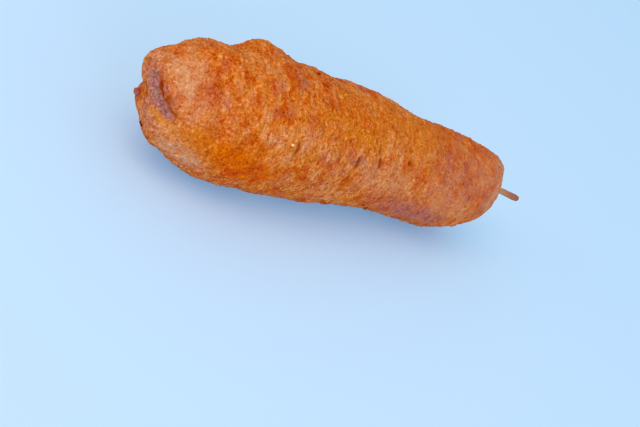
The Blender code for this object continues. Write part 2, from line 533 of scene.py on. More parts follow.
    def make(self) -> bpy.types.Material:
        """Build the material.

        Returns:
            The crust's material.
        """
        made, canvas, shader = new_material(Slot.BATTER.value)
        where = canvas.add("ShaderNodeTexCoord").outputs["Object"]
        strokes = canvas.vector("MULTIPLY", where, (1.0, 0.52, 0.52))
        grain = canvas.noise(strokes, 0.95, detail=2.0, roughness=0.6, w=1.0, distortion=0.9)
        fine = canvas.noise(where, 0.48, detail=1.0, w=5.0, distortion=0.3)
        amount = self.grain_and_relief_shade(canvas, where, grain, fine)
        colour = self.tinted(canvas, self.browning(canvas, where), where)
        colour = self.lightened(canvas, colour, amount)
        # Painted bounce: the lower flank made deeper orange and darker, as light and shade from a
        # left-out second corn dog would
        colour = canvas.mix(canvas.attribute(Tint.PAINTED_BOUNCE.value), colour, self.gold, blend="MULTIPLY")
        colour = self.scarred(canvas, colour, where, fine, amount)
        canvas.feed(shader.inputs["Base Color"], colour)
        canvas.feed(shader.inputs["Roughness"], canvas.stretch(grain, 0.3, 0.7, (0.62, 0.46)))
        shader.inputs["Specular IOR Level"].default_value = self.specular
        shader.inputs["Specular Tint"].default_value = self.gloss
        canvas.bump(shader, canvas.plus(fine, grain), self.bump, self.bump_depth)
        return made


@dataclass(frozen=True)
class WoodFinish:
    """Birch pick browned in the fryer, darker towards its cut end."""

    pale: Colour = Colour(214, 160, 112)
    dark: Colour = Colour(166, 88, 52)
    roughness: float = 0.62
    bump: float = 0.5
    bump_depth: float = 0.06

    def make(self) -> bpy.types.Material:
        """Build the material.

        Returns:
            The pick's material.
        """
        made, canvas, shader = new_material(Slot.WOOD.value)
        where = canvas.add("ShaderNodeTexCoord").outputs["Object"]
        fibres = canvas.noise(canvas.vector("MULTIPLY", where, (0.08, 1.0, 1.0)), 0.35, detail=2.0)
        brown = canvas.plus(canvas.times(fibres, 0.8), canvas.times(canvas.attribute(TOAST), 0.7))
        colour = canvas.mix(canvas.stretch(brown, 0.3, 1.1), self.pale, self.dark)
        canvas.feed(shader.inputs["Base Color"], colour)
        shader.inputs["Roughness"].default_value = self.roughness
        canvas.bump(shader, fibres, self.bump, self.bump_depth)
        return made


@dataclass(frozen=True)
class FloorFinish:
    """Plain pale blue surface, faintly lit from below as a light table is."""

    colour: Colour = Colour(208, 218, 242)
    roughness: float = 0.55
    glow: tuple[float, float, float, float] = (0.06, 0.5, 1.0, 1.0)
    glow_strength: float = 0.375

    def make(self) -> bpy.types.Material:
        """Build the material.

        Returns:
            The floor's material.
        """
        made, _, shader = new_material("pale_floor")
        shader.inputs["Base Color"].default_value = self.colour.linear()
        shader.inputs["Roughness"].default_value = self.roughness
        shader.inputs["Emission Color"].default_value = self.glow
        shader.inputs["Emission Strength"].default_value = self.glow_strength
        return made


# --------------------------------------------------------------------------- meshes


def vertices(mesh: bpy.types.Mesh) -> np.ndarray:
    """Read a mesh's vertices.

    Args:
        mesh: The mesh.

    Returns:
        One row for each vertex.
    """
    found = np.empty(len(mesh.vertices) * 3, dtype=np.float32)
    mesh.vertices.foreach_get("co", found)
    return found.reshape(-1, 3).astype(float)


def vertex_normals(mesh: bpy.types.Mesh) -> np.ndarray:
    """Read a mesh's vertex normals.

    Args:
        mesh: The mesh.

    Returns:
        One row for each vertex.
    """
    found = np.empty(len(mesh.vertices) * 3, dtype=np.float32)
    mesh.vertex_normals.foreach_get("vector", found)
    return found.reshape(-1, 3).astype(float)


def put_vertices(mesh: bpy.types.Mesh, points: np.ndarray) -> None:
    """Write an array of points back to a mesh."""
    mesh.vertices.foreach_set("co", points.astype(np.float32).ravel())
    mesh.update()


def put_attribute(mesh: bpy.types.Mesh, name: str, values: np.ndarray) -> None:
    """Store one number for each vertex under a name."""
    layer = mesh.attributes.get(name) or mesh.attributes.new(name, "FLOAT", "POINT")
    layer.data.foreach_set("value", values.astype(np.float32))


def tree_of(mesh: bpy.types.Mesh) -> BVHTree:
    """Search tree of a mesh's faces."""
    return BVHTree.FromPolygons([v.co for v in mesh.vertices], [p.vertices for p in mesh.polygons])


def mesh_from(bm: bmesh.types.BMesh, name: str) -> bpy.types.Mesh:
    """Turn a bmesh into a mesh, and free it.

    Args:
        bm: The bmesh.
        name: The mesh's name.

    Returns:
        The mesh.
    """
    mesh = bpy.data.meshes.new(name)
    bm.to_mesh(mesh)
    bm.free()
    return mesh


def link(obj: bpy.types.Object) -> bpy.types.Object:
    """Show an object in the scene."""
    bpy.context.scene.collection.objects.link(obj)
    return obj


def apply_modifiers(obj: bpy.types.Object) -> None:
    """Turn an object's modifiers into its mesh, for good.

    Args:
        obj: The object.
    """
    bpy.context.view_layer.update()
    graph = bpy.context.evaluated_depsgraph_get()
    made = bpy.data.meshes.new_from_object(obj.evaluated_get(graph), depsgraph=graph)
    obj.modifiers.clear()
    obj.data = made


# --------------------------------------------------------------------------- places on the roll


@dataclass
class Roll:
    """The roll's own measures: where a distance along it and a turn about it fall on its surface."""

    # The axis sinks towards the pick by this angle, from this height above the floor at the tip
    lean: float = 1.885
    tip_height: float = 20.15
    # Length of the round tip, where distances count round the dome
    tip_dome: float = 20.0
    # Length of the pick whose middle is taken as its outer end
    pick_end: float = 1.0
    # A distance from the axis that is surely outside the roll
    outside: float = 60.0

    def __post_init__(self) -> None:
        """Set the roll's directions; measure() gives it a surface."""
        lean = math.radians(self.lean)
        self.axis = Vector((math.cos(lean), 0.0, -math.sin(lean)))
        self.top = Vector((math.sin(lean), 0.0, math.cos(lean)))
        self.side = Vector((0.0, -1.0, 0.0))

    def measure(self, crust: bpy.types.Mesh, pick: bpy.types.Mesh) -> None:
        """Take the surface and the pick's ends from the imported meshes.

        Args:
            crust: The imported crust.
            pick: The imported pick.
        """
        self.surface = tree_of(crust)
        self.start = Vector((vertices(crust)[:, 0].min(), 0.0, self.tip_height * MM))
        points = vertices(pick)
        reach = points[:, 0]
        self.pick_inner = Vector(points[reach.argmin()])
        self.pick_outer = Vector(points[reach > reach.max() - self.pick_end * MM].mean(axis=0))

    def across(self, turn: float) -> Vector:
        """Unit vector across the roll; turn 0 is up and 90 faces -Y."""
        angle = math.radians(turn)
        return math.cos(angle) * self.top + math.sin(angle) * self.side

    def place(self, along: float, turn: float) -> Vector:
        """Find a point on the surface.

        Args:
            along: Distance from the tip in mm.  Short of tip_dome it counts round the tip's dome.
            turn: Turn about the axis in degrees.

        Returns:
            The point, in metres.
        """
        centre = self.start + self.axis * (max(along, self.tip_dome) * MM)
        tilt = math.radians(90.0 * min(along / self.tip_dome, 1.0))
        way = self.across(turn) * math.sin(tilt) - self.axis * math.cos(tilt)
        hit = self.surface.ray_cast(centre + way * self.outside * MM, -way)[0]
        return hit if hit is not None else centre


# --------------------------------------------------------------------------- marks


@dataclass(frozen=True)
class Mark:
    """A line or spot fried into the crust: raised, pressed in or just coloured.

    Places are (distance along the roll in mm, turn in degrees), as Roll.place takes them.
    """

    places: tuple[tuple[float, float], ...]
    width: float
    height: float = 0.0
    tint: Tint = Tint.NONE
    strength: float = 1.0
    taper: float = 0.5

    def profile(self, points: np.ndarray, roll: Roll) -> np.ndarray:
        """Work out how much of the mark each point gets.

        Args:
            points: Points in metres.
            roll: The roll that the mark is on.

        Returns:
            A number from 0 to 1 for each point.
        """
        line = [np.array(roll.place(*place)) for place in self.places]
        best = np.full(len(points), np.inf)
        part = np.full(len(points), 0.5)
        spans = max(len(line) - 1, 1)
        for index, (start, end) in enumerate(zip(line, line[1:] or line)):
            step = end - start
            along = np.clip((points - start) @ step / max(step @ step, 1e-12), 0.0, 1.0)
            gap = np.linalg.norm(points - start - along[:, None] * step, axis=1)
            nearer = gap < best
            best[nearer] = gap[nearer]
            part[nearer] = (index + along[nearer]) / spans if len(line) > 1 else 0.5
        slim = 1.0 - self.taper * np.abs(2.0 * part - 1.0) ** 1.5
        return np.exp(-((best / (self.width * MM * slim)) ** 2))


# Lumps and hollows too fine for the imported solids
SHAPE_MARKS = (
    Mark(((28.8, -28), (30.8, -24)), 3.8, 1.6, taper=0.2),
    Mark(((28.1, -31),), 1.6, 0.45),
    Mark(((25.2, -32),), 2.4, -0.4),
    Mark(((32.8, -25),), 1.8, -0.35),
    Mark(((38.0, -11), (42.0, -13)), 3.6, -0.25),
    Mark(((42.5, -26), (45.0, -25)), 2.2, -0.45, taper=0.2),
    Mark(((5.8, -44), (8.4, -51)), 2.0, 0.35, taper=0.2),
    Mark(((10.6, -47), (11.5, -41)), 1.8, -0.4, taper=0.2),
    Mark(((44.0, -15), (60.0, -20), (76.0, -6), (100.0, -8)), 8.0, 0.32, taper=0.0),
    Mark(((50.6, -25),), 1.2, 0.5),
    Mark(((52.8, -24), (57.4, -22)), 1.6, -0.65, taper=0.2),
    Mark(((61.8, -30), (65.1, -33)), 2.0, 0.3, taper=0.2),
    Mark(((68.7, -23),), 1.6, -0.35),
    Mark(((81.8, -23),), 1.8, -0.6),
    Mark(((86.0, -5), (91.0, -7)), 2.6, 0.25),
    Mark(((105.6, -33), (106.4, -24)), 1.8, -0.35, taper=0.2),
    Mark(((112.0, -2),), 3.0, 0.2),
    Mark(((114.0, -16), (117.0, -20), (121.0, -14)), 2.6, 0.4, taper=0.2),
    Mark(((122.5, -8), (124.0, 3)), 2.2, 0.1, taper=0.2),
    Mark(((123.8, 8), (123.0, 20)), 4.5, 0.3),
    Mark(((126.1, 36), (126.6, 46)), 2.0, -0.5, taper=0.2),
    Mark(((120.1, 124),), 1.2, 0.35),
    Mark(((117.0, 126),), 1.4, -0.4),
    Mark(((85.3, 143),), 1.4, -0.4),
    Mark(((75.5, 131),), 2.0, -0.3),
    Mark(((64.0, 131), (71.0, 133)), 2.6, -0.5, taper=0.2),
    Mark(((20.0, -30),), 4.0, -0.25),
    Mark(((9.0, 150), (12.5, 144)), 3.6, -0.6),
    Mark(((11.8, 159),), 1.2, 0.35),
    Mark(((14.0, 156),), 1.3, -0.5),
    Mark(((16.4, 155),), 1.1, 0.4),
    Mark(((5.6, -150), (5.4, -164)), 2.0, 0.65, taper=0.2),
    Mark(((2.8, -105),), 1.2, -0.35),
)

# The scar on the round tip with its crack, and the pale, rosy and brown batter round it
TIP_MARKS = (
    Mark(((2.9, -4), (2.3, 12), (2.0, 42), (2.7, 68), (3.9, 82)), 2.6, -0.15, Tint.SCAR, 0.95, 0.15),
    Mark(((3.9, 80), (5.3, 88), (7.4, 92)), 1.7, -0.12, Tint.SCAR, 0.95, 0.35),
    Mark(((4.6, 3), (4.4, 16), (4.1, 26)), 0.8, -0.3, Tint.CRACK, 0.38, 0.3),
    Mark(((3.9, 26), (3.7, 34), (3.7, 42)), 0.75, -0.7, Tint.CRACK, 1.5, 0.3),
    Mark(((3.9, 40), (4.2, 53), (4.5, 63)), 0.7, -0.4, Tint.CRACK, 1.1, 0.3),
    Mark(((4.6, 64), (5.4, 70), (6.8, 79), (8.2, 84)), 1.0, -0.28, Tint.CRACK, 0.6, 0.3),
    Mark(((5.6, 60), (6.4, 62)), 1.2, -0.2, Tint.CRACK, 0.45),
    Mark(((6.4, 8), (5.8, 25), (5.7, 40), (6.2, 56), (7.6, 68)), 0.9, 0.35, Tint.PEACH, 0.3, 0.4),
    Mark(((4.9, 44), (5.5, 48)), 1.3, 0.4, Tint.MAUVE, 1.0),
    Mark(((5.0, 45),), 1.5, 0.0, Tint.ROSY, 0.8),
    Mark(((2.6, -5), (1.6, 30), (2.4, 70), (4.3, 85), (6.4, 93)), 0.3, 0.22),
    Mark(((3.7, -8), (3.1, 28), (3.9, 60), (5.4, 78)), 0.3, 0.18),
    Mark(((1.6, -60), (0.8, 20), (1.7, 90)), 0.3, 0.16),
    Mark(((2.1, 153), (3.8, 137), (6.0, 125)), 1.6, 0.25, Tint.ROSY, 0.6, 0.4),
    Mark(((3.6, 117), (5.5, 108), (7.1, 107), (10.0, 107)), 1.5, -0.12, Tint.HONEY, 1.5, 0.3),
    Mark(((4.5, -28),), 3.2, 0.0, Tint.MAUVE, 0.5),
    Mark(((5.5, -34), (7.5, -18)), 3.6, 0.0, Tint.PEACH, 0.5),
    Mark(((7.5, 5), (9.5, 14)), 8.0, 0.0, Tint.PEACH, 0.9),
    Mark(((9.2, 44), (8.2, 26)), 3.6, 0.0, Tint.PEACH, 1.0),
    Mark(((10.0, 66),), 4.0, 0.0, Tint.PEACH, 0.5),
    # On the lower rim these tints are partly the batter's own and partly painted reflection of the pale
    # blue floor
    Mark(((4.0, 150), (9.0, 120)), 4.5, 0.0, Tint.PEACH, 0.4, 0.0),
    Mark(((12.0, 126), (17.0, 122)), 4.0, 0.0, Tint.PEACH, 0.9, 0.0),
    Mark(((2.4, 100), (2.6, 140)), 1.8, 0.0, Tint.MAUVE, 0.3, 0.2),
    Mark(((11.5, 132), (18.0, 128)), 4.5, 0.0, Tint.ROSY, 0.45),
    # Painted bounce from the left-out second corn dog
    Mark(((16.2, 93),), 4.0, 0.0, Tint.PAINTED_BOUNCE, 0.7),
    Mark(((14.5, 96), (27.0, 91)), 4.6, 0.0, Tint.HONEY, 1.1, 0.2),
)

# Cracks, blisters, wrinkles and tints of the side that faces out
SIDE_MARKS = (
    Mark(((39.1, 63), (39.7, 68), (39.3, 72)), 0.8, -0.35, Tint.CRACK, 0.75, 0.3),
    Mark(((39.3, 71), (38.9, 75), (39.0, 79)), 0.7, -0.2, Tint.CRACK, 0.45, 0.3),
    Mark(((61.3, 62), (62.2, 70)), 0.85, -0.4, Tint.CRACK, 0.85, 0.3),
    Mark(((68.8, 48), (69.5, 53)), 0.85, -0.35, Tint.CRACK, 0.7, 0.3),
    Mark(((69.5, 53), (70.3, 60)), 0.9, -0.2, Tint.CRACK, 0.4, 0.2),
    Mark(((70.3, 59), (70.9, 65)), 0.9, -0.4, Tint.CRACK, 0.85, 0.3),
    Mark(
        ((53.8, 64), (54.2, 58), (56.4, 53), (59.3, 51.5), (62.8, 53)), 1.0, -0.12, Tint.CRACK, 0.3, 0.2
    ),
    Mark(((53.8, 66), (53.6, 72), (52.0, 76)), 0.6, -0.15, Tint.CRACK, 0.35),
    Mark(((42.6, 72), (44.5, 71)), 1.1, 0.1, Tint.HONEY, 1.3, 0.2),
    Mark(((59.6, 66), (64.0, 63)), 1.6, 0.1, Tint.MAUVE, 0.5),
    Mark(((65.7, 69),), 1.6, 0.1, Tint.MAUVE, 0.5),
    Mark(((57.0, 60), (62.0, 63)), 2.4, 0.15, Tint.ROSY, 0.8),
    Mark(((29.5, 69), (34.0, 67)), 1.9, 0.05, Tint.ROSY, 0.4),
    Mark(((29.3, 62), (30.2, 72)), 0.4, 0.16, Tint.LIGHT, 0.7),
    Mark(((31.3, 62), (31.3, 68)), 0.35, 0.16, Tint.LIGHT, 0.7),
    Mark(((32.8, 63), (33.3, 72)), 0.4, 0.16, Tint.LIGHT, 0.7),
    Mark(((27.6, 64), (28.2, 70)), 0.4, 0.14, Tint.LIGHT, 0.6),
    Mark(((40.9, 62), (41.0, 68)), 0.4, 0.16, Tint.LIGHT, 0.6),
    Mark(((46.4, 58), (46.7, 65)), 0.4, 0.14, Tint.LIGHT, 0.6),
    Mark(((48.0, 59), (48.5, 65)), 0.4, 0.14, Tint.LIGHT, 0.6),
    Mark(((50.2, 64), (50.9, 72)), 0.4, 0.14, Tint.LIGHT, 0.5),
    Mark(((71.1, 44), (72.2, 50), (73.3, 57)), 0.55, 0.14, Tint.LIGHT, 0.35),
    Mark(((48.0, 68), (52.0, 69)), 2.0, 0.0, Tint.ROSY, 0.4),
    Mark(((71.9, 38), (73.2, 49)), 0.55, 0.15, Tint.PEACH, 0.7),
    Mark(((74.8, 36), (76.1, 50)), 0.55, 0.15, Tint.PEACH, 0.7),
    Mark(((40.4, 11),), 1.1, -0.4, Tint.MAUVE, 0.8),
    Mark(((40.0, -10), (38.2, 7)), 0.9, -0.2, Tint.MAUVE, 0.4),
    Mark(((18.7, 69), (20.2, 69)), 0.45, -0.2, Tint.CRACK, 0.5),
    Mark(((16.5, 49),), 1.4, 0.0, Tint.ROSY, 0.7),
    Mark(((15.0, 40), (19.0, 62)), 6.0, 0.0, Tint.MAUVE, 0.16, 0.2),
    # Painted bounce: orange light and shade from the left-out second corn dog on the lower flank
    Mark(((21.0, 92), (27.0, 100), (33.0, 99)), 6.0, 0.0, Tint.PAINTED_BOUNCE, 1.3, 0.2),
    Mark(((55.0, 10), (66.0, 12)), 6.0, 0.0, Tint.HONEY, 0.5, 0.2),
    Mark(((50.0, 40), (59.0, 38), (68.0, 36)), 7.0, 0.0, Tint.HONEY, 0.7, 0.2),
    Mark(((44.0, 64), (52.0, 68)), 6.0, 0.0, Tint.PEACH, 0.12, 0.2),
    Mark(((70.0, 74), (82.0, 78)), 6.0, 0.0, Tint.PEACH, 0.5, 0.2),
    Mark(((53.0, 95),), 5.0, 0.0, Tint.ROSY, 0.3),
)

# Shallow cracks and tints of the narrower end
NECK_MARKS = (
    Mark(((83.0, 50), (84.0, 62)), 0.7, -0.2, Tint.CRACK, 0.35),
    Mark(((94.5, 50), (96.2, 64)), 0.7, -0.2, Tint.CRACK, 0.35),
    Mark(((99.5, 25), (98.0, 56)), 1.2, -0.3, Tint.ROSY, 0.8),
    Mark(((112.0, 10), (110.2, 34)), 0.9, -0.25, Tint.CRACK, 0.35),
    Mark(((111.8, 43), (112.6, 54)), 0.7, -0.2, Tint.CRACK, 0.35),
    Mark(((118.6, 51), (119.6, 60)), 0.8, -0.2, Tint.CRACK, 0.3),
    # Lower rim: partly the batter's own tint, partly painted reflection of the pale blue floor
    Mark(((82.0, 106), (100.0, 104)), 5.0, 0.0, Tint.ROSY, 0.55, 0.2),
    Mark(((94.0, 44),), 5.0, 0.0, Tint.ROSY, 0.25),
    Mark(((99.0, 78), (108.0, 80)), 7.0, 0.0, Tint.PEACH, 0.3, 0.2),
    Mark(((99.0, 80), (108.0, 82)), 7.0, 0.0, Tint.ROSY, 0.35, 0.2),
    Mark(((112.0, 38), (121.0, 44)), 6.0, 0.0, Tint.PEACH, 0.3, 0.2),
    Mark(((76.0, 20), (92.0, 22)), 8.0, 0.0, Tint.HONEY, 0.7, 0.2),
    Mark(((98.0, 45), (118.0, 60)), 9.0, 0.0, Tint.MAUVE, 0.38, 0.2),
    Mark(((121.0, 20), (122.5, 48), (120.0, 80)), 5.0, 0.0, Tint.MAUVE, 0.65, 0.1),
    Mark(((123.0, 20), (123.5, 50), (121.5, 80)), 3.4, 0.0, Tint.PEACH, 0.7, 0.1),
    # Lower rim: partly the batter's own tint, partly painted reflection of the pale blue floor
    Mark(((88.0, 112), (104.0, 110)), 4.5, 0.0, Tint.MAUVE, 0.55, 0.1),
)


# --------------------------------------------------------------------------- crust


class SurfaceTree:
    """Geometry Nodes tree that works on a piece's surface, with its sizes as named inputs in mm."""

    NAME = ""
    SIZES: tuple[tuple[str, float], ...] = ()

    def __init__(self, finish: bpy.types.Material) -> None:
        """Build the tree: its inputs and output, and the nodes between them.

        Args:
            finish: The material that the tree's result gets.
        """
        self.tree = bpy.data.node_groups.new(self.NAME, "GeometryNodeTree")
        self.canvas = Canvas(self.tree)
        face = self.tree.interface
        face.new_socket(name="Geometry", in_out="INPUT", socket_type="NodeSocketGeometry")
        self.sockets = {}
        for name, value in self.SIZES:
            socket = face.new_socket(name=name, in_out="INPUT", socket_type="NodeSocketFloat")
            socket.default_value = value
            self.sockets[name] = socket.identifier
        face.new_socket(name="Geometry", in_out="OUTPUT", socket_type="NodeSocketGeometry")
        self.group = self.canvas.add("NodeGroupInput").outputs
        dressed = self.canvas.add("GeometryNodeSetMaterial")
        self.canvas.feed(dressed.inputs["Geometry"], self.draw())
        dressed.inputs["Material"].default_value = finish
        self.canvas.feed(self.canvas.add("NodeGroupOutput").inputs[0], dressed.outputs[0])

    def draw(self) -> Socket:
        """Add the tree's own nodes, and give the geometry that they make."""
        raise NotImplementedError

    def position(self) -> Socket:
        """Place of each point, in metres."""
        return self.canvas.add("GeometryNodeInputPosition").outputs[0]

    def metres(self, name: str) -> Socket:
        """A size input, turned into metres."""
        return self.canvas.times(self.group[name], MM)

    def named(self, name: str) -> Socket:
        """Read a number that the mesh carries.

        Args:
            name: The name that it is stored under.

        Returns:
            The number at each point.
        """
        node = self.canvas.add("GeometryNodeInputNamedAttribute", data_type="FLOAT")
        node.inputs["Name"].default_value = name
        return node.outputs[0]

    def store(self, geometry: Socket, domain: str, name: str, value: Socket) -> Socket:
        """Store a number under a name.

        Args:
            geometry: The geometry to store it on.
            domain: POINT for each point, or INSTANCE for each instance.
            name: The name.
            value: The number.

        Returns:
            The geometry.
        """
        node = self.canvas.add("GeometryNodeStoreNamedAttribute", data_type="FLOAT", domain=domain)
        self.canvas.feed(node.inputs["Geometry"], geometry)
        node.inputs["Name"].default_value = name
        self.canvas.feed(node.inputs["Value"], value)
        return node.outputs[0]

    def moved(self, geometry: Socket, offset: Socket) -> Socket:
        """Move each point.

        Args:
            geometry: The geometry.
            offset: How far each point moves, in metres.

        Returns:
            The geometry.
        """
        node = self.canvas.add("GeometryNodeSetPosition")
        self.canvas.feed(node.inputs["Geometry"], geometry)
        self.canvas.feed(node.inputs["Offset"], offset)
        return node.outputs[0]

    def work_on(self, obj: bpy.types.Object) -> None:
        """Run the tree on an object, whose mesh becomes the result.

        Args:
            obj: The object.
        """
        modifier = obj.modifiers.new(self.NAME, "NODES")
        modifier.node_group = self.tree
        for name, value in self.SIZES:
            modifier[self.sockets[name]] = value
        apply_modifiers(obj)


class ReliefTree(SurfaceTree):
    """Raises lumps, blisters and grain on a surface along its normals.

    It also presses in small pits, crumples the scar, and stores each point's grain and pit for the
    finish.
    """

    NAME = "crust_relief"
    SIZES = (
        ("Lump Size", 7.0),
        ("Lump Height", 1.5),
        ("Blister Size", 2.6),
        ("Blister Height", 0.9),
        ("Grain Size", 1.15),
        ("Grain Height", 0.15),
        ("Pit Spacing", 3.1),
        ("Pit Depth", 0.24),
        ("Wrinkle Size", 1.1),
        ("Wrinkle Height", 0.5),
        ("Seed", 4.0),
    )

    def layer(self, where: Socket, name: str, shift: float) -> Socket:
        """Add a layer of soft waves.

        Args:
            where: Place of each point, in mm.
            name: Which size inputs it takes.
            shift: Number that picks its pattern.

        Returns:
            Its height in mm, about zero.
        """
        canvas = self.canvas
        wave = canvas.add("ShaderNodeTexNoise", noise_dimensions="4D")
        canvas.feed(wave.inputs["Vector"], where)
        canvas.feed(wave.inputs["Scale"], canvas.math("DIVIDE", 1.0, self.group[name + " Size"]))
        canvas.feed(wave.inputs["W"], canvas.plus(self.group["Seed"], shift))
        wave.inputs["Detail"].default_value = 1.0
        centred = canvas.math("SUBTRACT", wave.outputs[0], 0.5)
        return canvas.times(centred, self.group[name + " Height"])

    def pebbles(self, where: Socket) -> Socket:
        """Add rounded grains.

        Args:
            where: Place of each point, in mm.

        Returns:
            From about -0.5 between the grains to 0.45 at their middles.
        """
        canvas = self.canvas
        cells = canvas.add("ShaderNodeTexVoronoi", voronoi_dimensions="3D", feature="SMOOTH_F1")
        canvas.feed(cells.inputs["Vector"], where)
        canvas.feed(cells.inputs["Scale"], canvas.math("DIVIDE", 1.0, self.group["Grain Size"]))
        cells.inputs["Smoothness"].default_value = 0.25
        return canvas.math("SUBTRACT", 0.45, cells.outputs["Distance"])

    def pits(self, where: Socket) -> Socket:
        """Add small pits drawn out across the roll, in about half of the cells.

        Args:
            where: Place of each point, in mm.

        Returns:
            1 at the middle of a pit, and 0 outside it.
        """
        canvas = self.canvas
        cells = canvas.add("ShaderNodeTexVoronoi", voronoi_dimensions="3D", feature="F1")
        canvas.feed(cells.inputs["Vector"], canvas.vector("MULTIPLY", where, (1.0, 0.55, 0.55)))
        canvas.feed(cells.inputs["Scale"], canvas.math("DIVIDE", 1.0, self.group["Pit Spacing"]))
        lot = canvas.part_of(cells.outputs["Color"], 0)
        reach = canvas.stretch(lot, 0.45, 1.0, (0.0, 0.26))
        inside = canvas.math("DIVIDE", cells.outputs["Distance"], canvas.math("MAXIMUM", reach, 0.001))
        return canvas.stretch(inside, 1.0, 0.35)

    def draw(self) -> Socket:
        """Add the nodes.

        Returns:
            The raised surface.
        """
        canvas, group = self.canvas, self.group
        where = canvas.scaled(self.position(), 1.0 / MM)
        pebble, pit, scar = self.pebbles(where), self.pits(where), self.named(Tint.SCAR.value)
        grain = canvas.times(pebble, canvas.times(group["Grain Height"], 2.0))
        fine = canvas.plus(self.layer(where, "Blister", 10.0), grain)
        fine = canvas.math("SUBTRACT", fine, canvas.times(pit, group["Pit Depth"]))
        fine = canvas.times(fine, canvas.math("SUBTRACT", 1.0, canvas.times(scar, 0.6)))
        ridges = canvas.math("ABSOLUTE", self.layer(where, "Wrinkle", 20.0))
        fine = canvas.math("SUBTRACT", fine, canvas.times(ridges, canvas.times(scar, 2.0)))
        total = canvas.times(canvas.plus(self.layer(where, "Lump", 0.0), fine), MM)
        geometry = self.store(group["Geometry"], "POINT", RISE, canvas.plus(pebble, 0.3))
        geometry = self.store(geometry, "POINT", PIT, pit)
        outwards = canvas.add("GeometryNodeInputNormal").outputs[0]
        return self.moved(geometry, canvas.scaled(outwards, total))


